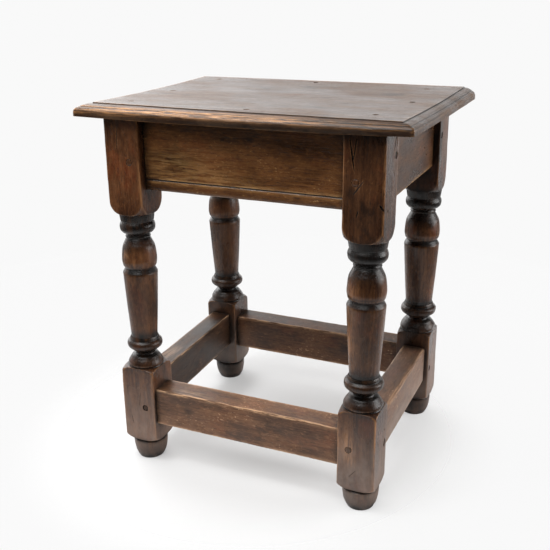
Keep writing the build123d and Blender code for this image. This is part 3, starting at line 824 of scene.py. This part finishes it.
def bar(ring, low, high, tenon_ring, tenon_reach):
    """A bar along X with tenons: the section swept in steps, then its shoulders and tenons."""
    shape = bmesh.new()
    points, rim = section_at(shape, ring, low)
    steps = round((high - low) / RAIL_STEP)
    stride = ((high - low) / steps, 0, 0)
    line = {"cent": (0, 0, 0), "axis": (1, 0, 0), "dvec": stride, "angle": 0}
    swept = bmesh.ops.spin(shape, geom=points + rim, steps=steps, **line)
    for edge_ring, x, way in ((rim, low, -1), (edges_in(swept["geom_last"]), high, 1)):
        _, root = section_at(shape, tenon_ring, x)
        bmesh.ops.bridge_loops(shape, edges=edge_ring + root)
        grown = bmesh.ops.extrude_edge_only(shape, edges=root)["geom"]
        bmesh.ops.translate(shape, vec=(way * tenon_reach, 0, 0), verts=verts_in(grown))
        bmesh.ops.contextual_create(shape, geom=edges_in(grown))
    return shape


def rail_shape(name, section, limits, seed):
    """A rail in the upright frame, outer face to -Y, with planed unevenness and chipped edges."""
    bottom, top = RAILS[name][:2]
    recess, thick, rounding, setback, tenon_thick, low, high, tenon_reach = RAIL_SECTIONS[section]
    outer = -LEG_HALF + recess
    inner = outer + thick
    corners = [(inner, bottom, RAIL_ARRIS), (inner, top, RAIL_ARRIS), (outer, top, rounding)]
    if section == "apron_long":
        groove_low = bottom + BEAD_HEIGHT
        width, depth = BEAD_GROOVE
        corners += [
            (outer, groove_low + width, 0.5),
            (outer + depth, groove_low + width / 2, 0.4),
            (outer, groove_low, 0.9),
            (outer, bottom, BEAD_ROUNDING),
        ]
    else:
        corners += [(outer, bottom, RAIL_ARRIS)]
    ring = eased_ring(corners, RAIL_STEP)
    near, far = outer + setback, outer + setback + tenon_thick
    tenon_ring = [Vector((0, y, z)) for y, z in ((far, low), (far, high), (near, high), (near, low))]
    shape = bar(ring, *limits, tenon_ring, tenon_reach)
    middle_y, middle_z = (outer + inner) / 2, (bottom + top) / 2
    for vert in shape.verts:
        x, y, z = vert.co
        if not limits[0] - 1 < x < limits[1] + 1:
            continue
        across = abs(y - middle_y) / (thick / 2)
        up = abs(z - middle_z) / ((top - bottom) / 2)
        edge = max(0.0, min(across, up) - 0.86) / 0.14
        chip = max(0.0, ripple((x, y, z), 7, seed + 5) + 0.6 * ripple((x, y, z), 2.6, seed + 6) - 0.25)
        inward = Vector((0, middle_y - y, middle_z - z)).normalized()
        sway = 0.35 * ripple((x, y, z), 60, seed) + 0.12 * ripple((x, y, z), 14, seed + 2) - 0.2
        vert.co += -inward * sway + inward * (0.9 * chip * edge)
    return shape


def side_place(side):
    """How a side rail lies: straight on the right, slanting out to the farther back leg on the left."""
    reach, back_reach = LEG_REACH[f"front_{side}"], LEG_REACH[f"back_{side}"]
    slant = math.atan2(back_reach - reach, LEG_SPACING_FLOOR)
    middle = Matrix.Translation((SIDES[side] * (reach + back_reach) / 2, 0, 0))
    slanted = middle @ Matrix.Rotation(-SIDES[side] * slant, 4, "Z")
    return slanted @ Matrix.Rotation(SIDES[side] * math.pi / 2, 4, "Z")


APRON_BROWNS = ((0.036, 0.012, 0.0035), (0.125, 0.047, 0.013), (0.2, 0.088, 0.028), (0.5, 0.275, 0.105))
STRETCHER_BROWNS = ((0.055, 0.02, 0.007), (0.175, 0.072, 0.028), (0.26, 0.125, 0.055), (0.7, 0.42, 0.235))
RAIL_FIGURE = {"fleck": 0.95, "streak": 0.6, "red": 0.25}  # more flecked and evener than the legs'


def rail_oak(name):
    """The oak of one rail, its grain along it."""
    tone, dust_and_sheen = RAILS[name][2:]
    kind, where = name.split("_")
    axis = "Y" if where in SIDES else "X"
    browns, shine = (APRON_BROWNS, 0.30) if kind == "apron" else (STRETCHER_BROWNS, 0.40)
    shift = 0.31 + 0.26 * list(RAILS).index(name)
    return oak(f"{name}_oak", axis, browns, shift, tone, shine=shine, dust_and_sheen=dust_and_sheen, **RAIL_FIGURE)


# Nail holes and splits in single rails, as in press_in.
RAIL_MARKS = {
    "apron_right": [
        ((191, 60, 474), (191, 60, 474), 1.3, 2),
        ((191, 72, 462), (191, 72, 462), 1.5, 2),
        ((191, 20, 492), (191, 46, 490), 0.4, 0.5),
    ],
    "stretcher_back": [
        ((-60, 126, 104), (10, 126, 101), 0.5, 0.6),
        ((40, 126, 92), (95, 126, 95), 0.5, 0.6),
    ],
    "stretcher_front": [
        ((60, -167, 84), (118, -167, 82), 0.5, 0.6),
        ((-40, -160, 125), (-14, -158, 125), 0.5, 0.6),
    ],
}
# Worn and stained places on single rails, as in wear: hands and feet have used them unevenly.
# Some spots are painted shadow and painted shade, as noted.
RAIL_SPOTS = {
    "apron_front": [
        ((-95, -158, 470), (85, 8, 28), 0.7, 0),
        ((-30, -158, 454), (60, 8, 10), 0.4, 0),
        # Painted shadow of the board on the apron's top.
        ((20, -157, 516), (75, 8, 12), 0, 0.55),
        ((120, -157, 505), (45, 8, 22), 0, 0.35),
        # Painted shadow of the board along the apron's top.
        ((-60, -157, 524), (90, 8, 8), 0, 0.45),
        ((0, -158, 435), (300, 12, 7), -0.5, 0.45),
        # Painted shade in the corners where the apron meets the legs.
        ((-144, -157, 480), (4, 8, 60), 0, 0.8),
        ((144, -157, 480), (4, 8, 60), 0, 0.8),
    ],
    "stretcher_front": [
        ((-80, -167, 124), (60, 3, 2), 0.75, 0),
        ((30, -167, 124), (90, 3, 2), 0.65, 0),
        ((-95, -155, 125), (40, 12, 3), 0.25, 0),
        # Painted shade in the corners where the stretcher meets the legs.
        ((144, -165, 96), (4, 30, 40), 0, 0.6),
        ((-144, -165, 96), (4, 30, 40), 0, 0.6),
        ((100, -167, 75), (34, 8, 8), 0, 0.35),
    ],
    "stretcher_left": [
        ((-180, -60, 135), (14, 30, 4), 0.35, 0),
        ((-165, 0, 100), (10, 200, 60), 0, 0.3),
        ((-172, 60, 135), (20, 80, 4), -0.5, 0.45),
        ((-150, 0, 135), (9, 300, 5), -0.7, 0.15),
    ],
    "stretcher_right": [((190, 60, 132), (12, 26, 4), 0, 0.4)],
}


def add_rail(name, shape, place):
    """A rail stood in its place, its top kept under the board, then marked and worn."""
    bmesh.ops.transform(shape, matrix=place, verts=shape.verts)
    for vert in shape.verts:
        vert.co.z = min(vert.co.z, BOARD_UNDERSIDE)
    marks, spots = RAIL_MARKS.get(name, ()), RAIL_SPOTS.get(name, ())
    add_piece("planed", name, "rail_oak", rail_oak(name), shape, marks, spots)


for seed, end in enumerate(ENDS, start=11):
    limits = sorted(along_frame(end, side, LEG_HALF) for side in SIDES)
    for kind, next_seed in (("apron", seed + 3), ("stretcher", seed)):
        shape = rail_shape(f"{kind}_{end}", f"{kind}_long", limits, next_seed)
        add_rail(f"{kind}_{end}", shape, frame_place(end))

for seed, side in enumerate(SIDES, start=21):
    for kind, next_seed in (("apron", seed + 2), ("stretcher", seed)):
        half = side_shoulder(SIDE_TENON_MIDDLE[kind])
        shape = rail_shape(f"{kind}_{side}", f"{kind}_side", (-half, half), next_seed)
        for vert in shape.verts:
            if abs(vert.co.x) < half + 0.1:
                vert.co.x *= side_shoulder(vert.co.z) / half
        add_rail(f"{kind}_{side}", shape, side_place(side))


# --- Seat board ---------------------------------------------------------------
# One wide oak board with a thumb moulding run round all four edges, its mitres sharp once and now
# rubbed. It has cupped a little across its width, and its nose is dented and worn bright in front.
BOARD_HALF = (240.0, 182.0)
STOOL_HEIGHT = 550.0
MOULD_WIDTH = 18.3
BOARD_CUP = 2.2  # how far the middle lies below the long edges
FLAT = Vector((BOARD_HALF[0] - MOULD_WIDTH, BOARD_HALF[1] - MOULD_WIDTH))  # half the flat, each way
# Moulding from the flat's border outwards and down, as (outward, downward).
MOULD_RUNS = joined_runs((0, 0), [
    [(0.3, 1)],
    [(1.3, 1.2)],
    [(6.5, 1.7), (11.6, 3.5)],
    [(11.9, 4.1)],
    [(12.7, 4.4)],
    [(15.8, 5.7), (17.8, 8.2), (18.3, 10.6)],
    [(17.6, 13.9), (15.6, 16.5), (12.6, 17.5)],
])
MOULDING_CELL = 1.0  # spacing of the loops down the moulding
BOARD_CELLS = (184, 136)
CORNER = 3.0  # rounding of the corners, seen from above
WORN_CORNER = 27.0  # and of the back right one, which has lost most
WORN_CORNER_FALL = (2.6, 45.0)  # how deep that corner is worn down, and over what length
FRONT_DROOP = 1.6  # how far the middle of the front edge sags
RIGHT_LIFT = 2.0  # how much thinner the nose is at the right end
END_SLANT = 2.5  # how much shorter the right end is in front
SCRATCHED_LINE = (6.0, -4.0)  # how far the front quirk strays at the left and right ends
SEAT_PEG = 7.5
SEAT_PEG_ROOM = 0.2  # between a peg and the rim of its hole
# Where each peg goes in, how far its head lies below the flat, and how much darker its head is made.
SEAT_PEGS = {
    "front_left": (-180, -127, 1, 0.1),
    "front_middle": (6, -144, 2, 0.7),
    "front_right": (174, -127, 2.8, 1),
    "right_middle": (186, -1, 2.8, 1),
    "back_right": (174, 125, 1, 0.1),
    "back_middle": (-10, 144, 2, 0.7),
    "back_left": (-180, 138, 1, 0.1),
    "left_middle": (-186, -3, 1, 0.1),
}


def cup_at(y):
    """How far the board has cupped at a depth across its width."""
    return BOARD_CUP * max(0.0, 1 - (y / FLAT.y) ** 2)


def board_shape():
    """The flat as a grid, the moulding drawn out of its border loop by loop, then the underside."""
    shape = bmesh.new()
    top = bmesh.ops.create_grid(shape, x_segments=BOARD_CELLS[0], y_segments=BOARD_CELLS[1], size=1.0)
    bmesh.ops.scale(shape, vec=(FLAT.x, FLAT.y, 1), verts=top["verts"])
    bmesh.ops.translate(shape, vec=(0, 0, STOOL_HEIGHT), verts=top["verts"])
    under = bmesh.ops.duplicate(shape, geom=shape.faces[:])["geom"]
    under_verts = verts_in(under)
    outline = []
    for run in MOULD_RUNS:
        outline += [(p.x, p.z) for p in run_points(run, MOULDING_CELL)]
    outline.append(MOULD_RUNS[-1][-1])
    far_out, far_down = outline[-1]
    reach = Vector(((FLAT.x + far_out) / FLAT.x, (FLAT.y + far_out) / FLAT.y, 1))
    bmesh.ops.scale(shape, vec=reach, verts=under_verts)
    bmesh.ops.translate(shape, vec=(0, 0, -far_down), verts=under_verts)
    under_rim = [edge for edge in edges_in(under) if edge.is_boundary]
    rim = [edge for edge in shape.edges if edge.is_boundary and edge not in set(under_rim)]
    before = (0.0, 0.0)
    for out, down in outline[1:-1]:
        grown = bmesh.ops.extrude_edge_only(shape, edges=rim)["geom"]
        step = Vector((out - before[0], before[1] - down))
        for vert in verts_in(grown):
            for axis in (0, 1):
                if abs(abs(vert.co[axis]) - FLAT[axis] - before[0]) < 0.01:
                    vert.co[axis] += math.copysign(step.x, vert.co[axis])
            vert.co.z += step.y
        rim = [edge for edge in edges_in(grown) if edge.is_boundary]
        before = (out, down)
    bmesh.ops.bridge_loops(shape, edges=rim + under_rim)
    return shape


def round_corners(shape):
    """Spread each loop of the moulding evenly, then round its corners, most at the back right one."""
    for vert in shape.verts:
        out = max(abs(vert.co.x) - FLAT.x, abs(vert.co.y) - FLAT.y)
        if out < 0.05:
            continue
        for axis in (0, 1):
            if abs(vert.co[axis]) <= FLAT[axis] + 0.01:
                vert.co[axis] *= (FLAT[axis] + out) / FLAT[axis]
        rounding = WORN_CORNER if vert.co.x > 0 and vert.co.y > 0 else CORNER
        rounding *= out / MOULD_WIDTH
        centre = Vector((FLAT.x + out - rounding, FLAT.y + out - rounding))
        past = Vector((abs(vert.co.x) - centre.x, abs(vert.co.y) - centre.y))
        if past.x > 0 and past.y > 0:
            past *= rounding / past.length
            vert.co.x = math.copysign(centre.x + past.x, vert.co.x)
            vert.co.y = math.copysign(centre.y + past.y, vert.co.y)


def board_worn(shape):
    """Cup, droop, dents and rubbed edges, as moves of the points."""
    left, right = SCRATCHED_LINE
    for vert in shape.verts:
        x, y, z = vert.co
        in_front = max(0.0, 1 - abs(y + FLAT.y) / (MOULD_WIDTH if y < -FLAT.y else 45.0))
        vert.co.y += in_front * (left + (right - left) * (x / FLAT.x + 1) / 2)
        out = max(abs(x) - FLAT.x, abs(y) - FLAT.y, 0.0)
        upper = (z - BOARD_UNDERSIDE) / (STOOL_HEIGHT - BOARD_UNDERSIDE)
        hand = 0.28 * ripple((x, y, 0), 70, 31) + 0.10 * ripple((x, y * 3, 0), 22, 32) - 0.3
        droop = FRONT_DROOP * max(0.0, 1 - (x / BOARD_HALF[0]) ** 2) * held((-y - 150) / 25)
        if upper > 0.2:
            vert.co.z -= cup_at(y) * min(1.0, upper * 1.4) - hand * min(1.0, upper * 1.2)
        vert.co.z -= droop
        if out > 8:
            chip = max(0.0, ripple((x, y, z), 9, 33) + 0.5 * ripple((x, y, z), 3, 34) - 0.3)
            rub = 0.5 * ripple((x, y, 0), 35, 35) + 0.35
            pull = min(1.0, (out - 8) / 8) * (0.8 * chip + 0.6 * rub) * min(1.0, (x + BOARD_HALF[0]) / 30)
            for axis, from_middle in enumerate((x, y)):
                if abs(from_middle) - FLAT[axis] > 8:
                    vert.co[axis] -= math.copysign(pull, from_middle)
        right_end = max(0.0, x / BOARD_HALF[0]) ** 3
        vert.co.x -= END_SLANT * right_end * (0.5 - y / BOARD_HALF[1] / 2)
        if z < STOOL_HEIGHT - 9:
            vert.co.z += RIGHT_LIFT * right_end * max(0.0, -y / BOARD_HALF[1]) * min(1.0, out / 12.6)
        corner = math.hypot(x - BOARD_HALF[0], y - BOARD_HALF[1])
        if z > BOARD_UNDERSIDE + 4:
            fall, length = WORN_CORNER_FALL
            vert.co.z -= fall * max(0.0, 1 - corner / length) * min(1.0, out / MOULD_WIDTH)
        for axis, half in enumerate(BOARD_HALF):
            vert.co[axis] = min(half, max(-half, vert.co[axis]))


SEAT_BROWNS = ((0.034, 0.014, 0.007), (0.085, 0.042, 0.02), (0.145, 0.082, 0.044), (0.56, 0.27, 0.1))
# Worn and stained places on the board, as in wear, and the painted shade noted below.
SEAT_SPOTS = [
    ((-120, -176, 544), (140, 9, 3), 1.1, -0.2),
    ((40, -178, 544), (120, 7, 3), 0.5, 0),
    ((-200, -180, 539), (50, 9, 4), 0.35, 0),
    ((-80, -172, 547), (140, 4, 2), 0.5, 0),
    # Painted shade on the right of the front nose, where less light falls.
    ((165, -176, 543), (85, 12, 9), 0.15, 0.62),
    # Painted shade along the underside of the front nose.
    ((60, -178, 534), (300, 12, 4.5), -0.3, 0.85),
    ((40, -164, 550), (200, 6, 2), -0.7, 0),
    ((222, 0, 549), (3.5, 230, 3), -0.8, 0.5),
    ((233, 0, 546), (2.5, 230, 2.5), -0.5, 0.3),
    ((232, 0, 544), (14, 240, 8), -0.3, 0.42),
    ((120, 60, 549), (60, 25, 3), 0, 0.22),
    ((-60, -40, 549), (80, 30, 3), 0, 0.12),
    ((-30, 60, 549), (30, 50, 3), 0, 0.2),
]
seat_oak = oak("seat_oak", "X", SEAT_BROWNS, 1.3, fleck=0.3, shine=0.34, streak=0.9, red=0.1)
shape = board_shape()
round_corners(shape)
board_worn(shape)
seat_marks = []
for x, y, sunk, _ in SEAT_PEGS.values():
    middle = (x, y, STOOL_HEIGHT - cup_at(y))
    seat_marks.append((middle, middle, SEAT_PEG / 2 + SEAT_PEG_ROOM, sunk))
add_piece("moulded", "seat_board", "seat_oak", seat_oak, shape, seat_marks, SEAT_SPOTS)


# --- Pegs ---------------------------------------------------------------------
# Riven oak pegs, whittled with a few flats and driven through each tenon and down through the seat.
# Their ends were cut off with a chisel, and have gone darker than the wood round them.
JOINT_PEG_DEPTH = 38.0
SEAT_PEG_DEPTH = 17.0
PEG_FLATS = 10
PEG_POINT = 1.0  # how much thinner the driven end is, all round
HEAD_DOME = 0.5
FLUSH = -0.70  # where most heads' rims lie in the front and back faces
SUNK = -1.6  # and those of pegs that have shrunk back into their holes


def peg_shape(width, depth, proud, seed):
    """A whittled peg along -Z, its head's rim proud of the face, or sunk if negative, and domed."""
    shape = bmesh.new()
    ends = {"radius1": width / 2 - PEG_POINT, "radius2": width / 2}
    made = bmesh.ops.create_cone(shape, cap_ends=True, segments=PEG_FLATS, depth=depth + proud, **ends)
    bmesh.ops.translate(shape, vec=(0, 0, (proud - depth) / 2), verts=made["verts"])
    head = [face for face in shape.faces if face.normal.z > 0.9]
    bmesh.ops.inset_region(shape, faces=head, thickness=0.7, depth=0.0)
    bmesh.ops.translate(shape, vec=(0, 0, HEAD_DOME), verts=list(head[0].verts))
    bmesh.ops.inset_region(shape, faces=head, thickness=1.4, depth=0.15)
    for vert in shape.verts:
        vert.co += Vector((1, 1, 0)) * 0.25 * ripple(vert.co, 3, seed)
        if vert.co.z > proud - 0.1:
            vert.co.z += 0.3 * ripple(vert.co, 4, seed + 9)
    return shape


PEG_BROWNS = ((0.02, 0.008, 0.004), (0.062, 0.025, 0.01), (0.1, 0.046, 0.02), (0.19, 0.1, 0.046))
peg_oak = oak("peg_oak", "X", PEG_BROWNS, 2.1, fleck=0.1, shine=0.5)
flush_oak = oak("flush_peg_oak", "Z", LEG_BROWNS, 2.7, tone=0.9, dust_and_sheen=0.3)
seed = 40
for rail_name in RAIL_NAMES:
    where = rail_name.split("_")[1]
    for rail_end in SIDES if where in ENDS else ENDS:
        seed += 1
        sunk = where in SIDES or (rail_name, rail_end) == ("stretcher_front", "left")
        shape = peg_shape(JOINT_PEG, JOINT_PEG_DEPTH, SUNK if sunk else FLUSH, seed)
        bmesh.ops.transform(shape, matrix=joint_peg_place(rail_name, rail_end), verts=shape.verts)
        name = f"peg_{rail_name}_{rail_end}"
        material = peg_oak if sunk else flush_oak
        add_piece("driven", name, "peg_oak", material, shape, ridge=3000.0, hollow=6000.0)

for name, (x, y, sunk, head_darkening) in SEAT_PEGS.items():
    seed += 1
    top = STOOL_HEIGHT - BOARD_UNDERSIDE - cup_at(y) - sunk
    shape = peg_shape(SEAT_PEG, SEAT_PEG_DEPTH, top, seed)
    bmesh.ops.translate(shape, vec=(x, y, BOARD_UNDERSIDE), verts=shape.verts)
    spots = [((x, y, STOOL_HEIGHT), (9, 9, 9), 0.0, head_darkening)]
    add_piece("driven", f"seat_peg_{name}", "peg_oak", peg_oak, shape, spots=spots)
